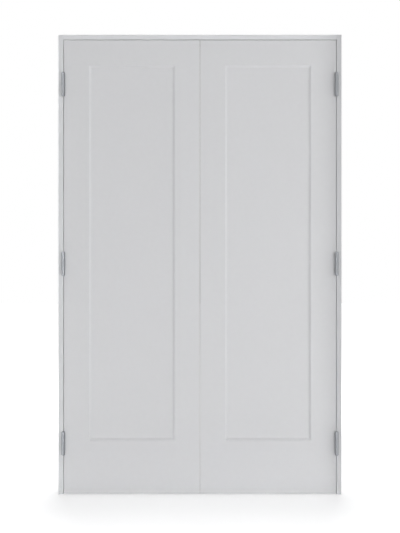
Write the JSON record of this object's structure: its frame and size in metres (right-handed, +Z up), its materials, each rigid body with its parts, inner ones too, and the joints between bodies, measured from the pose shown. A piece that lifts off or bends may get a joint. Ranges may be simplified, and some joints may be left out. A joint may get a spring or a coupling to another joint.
{
  "type": "pair of interior french doors in a frame",
  "caption": "Pair of hinged one-panel interior doors in their own jamb frame, with butt hinges, stops and ball catches at the head.",
  "frame": {"origin": "on the floor, midway between the side jambs and midway through the depth of the unit with its hinge barrels", "axes": "+X to the right seen from the side the doors open towards, +Y through the doorway away from that side, +Z up"},
  "size_m": [1.2682, 0.1366, 2.0592],
  "materials": {
    "leaf_primer": "matte",
    "frame_primer": "matte",
    "dowel_wood": "matte",
    "hinge_nickel": "satin",
    "screw_nickel": "satin",
    "catch_nickel": "satin",
    "bright_steel": "gloss"
  },
  "bodies": {
    "frame": {"head_jamb": "frame_primer", "head_stop": "frame_primer", "head_stop_brads": "bright_steel", "left_jamb": "frame_primer", "left_stop": "frame_primer", "left_stop_brads": "bright_steel", "left_head_screws": "screw_nickel", "left_jamb_hinge_screws": "screw_nickel", "left_hinge_tips": "hinge_nickel", "left_strike_plate": "catch_nickel", "left_strike_screws": "screw_nickel", "left_top_jamb_plate": "hinge_nickel", "left_top_hinge_pin": "hinge_nickel", "left_middle_jamb_plate": "hinge_nickel", "left_middle_hinge_pin": "hinge_nickel", "left_bottom_jamb_plate": "hinge_nickel", "left_bottom_hinge_pin": "hinge_nickel", "right_jamb": "frame_primer", "right_stop": "frame_primer", "right_stop_brads": "bright_steel", "right_head_screws": "screw_nickel", "right_jamb_hinge_screws": "screw_nickel", "right_hinge_tips": "hinge_nickel", "right_strike_plate": "catch_nickel", "right_strike_screws": "screw_nickel", "right_top_jamb_plate": "hinge_nickel", "right_top_hinge_pin": "hinge_nickel", "right_middle_jamb_plate": "hinge_nickel", "right_middle_hinge_pin": "hinge_nickel", "right_bottom_jamb_plate": "hinge_nickel", "right_bottom_hinge_pin": "hinge_nickel"},
    "left_leaf": {"left_hinge_stile": "leaf_primer", "left_meeting_stile": "leaf_primer", "left_top_rail": "leaf_primer", "left_bottom_rail": "leaf_primer", "left_panel": "leaf_primer", "left_dowels": "dowel_wood", "left_leaf_hinge_screws": "screw_nickel", "left_catch_case": "catch_nickel", "left_catch_spring": "bright_steel", "left_catch_screws": "screw_nickel", "left_top_leaf_plate": "hinge_nickel", "left_middle_leaf_plate": "hinge_nickel", "left_bottom_leaf_plate": "hinge_nickel"},
    "right_leaf": {"right_hinge_stile": "leaf_primer", "right_meeting_stile": "leaf_primer", "right_top_rail": "leaf_primer", "right_bottom_rail": "leaf_primer", "right_panel": "leaf_primer", "right_dowels": "dowel_wood", "right_leaf_hinge_screws": "screw_nickel", "right_catch_case": "catch_nickel", "right_catch_spring": "bright_steel", "right_catch_screws": "screw_nickel", "right_top_leaf_plate": "hinge_nickel", "right_middle_leaf_plate": "hinge_nickel", "right_bottom_leaf_plate": "hinge_nickel"},
    "left_catch_ball": {"left_catch_ball": "bright_steel"},
    "right_catch_ball": {"right_catch_ball": "bright_steel"}
  },
  "joints": [
    {"name": "left_leaf_swing", "type": "hinge", "parent": "frame", "child": "left_leaf", "pos_m": [-0.61085, -0.0603, 1.021], "axis": [0, 0, -1], "range_deg": [0, 180]},
    {"name": "right_leaf_swing", "type": "hinge", "parent": "frame", "child": "right_leaf", "pos_m": [0.61085, -0.0603, 1.021], "axis": [0, 0, 1], "range_deg": [0, 180]},
    {"name": "left_ball_press", "type": "slide", "parent": "left_leaf", "child": "left_catch_ball", "axis": [0, 0, -1], "range_m": [0, 0.004], "stiffness_N_per_m": 3000, "springref_m": -0.003, "deforming": ["left_catch_spring"]},
    {"name": "right_ball_press", "type": "slide", "parent": "right_leaf", "child": "right_catch_ball", "axis": [0, 0, -1], "range_m": [0, 0.004], "stiffness_N_per_m": 3000, "springref_m": -0.003, "deforming": ["right_catch_spring"]}
  ]
}
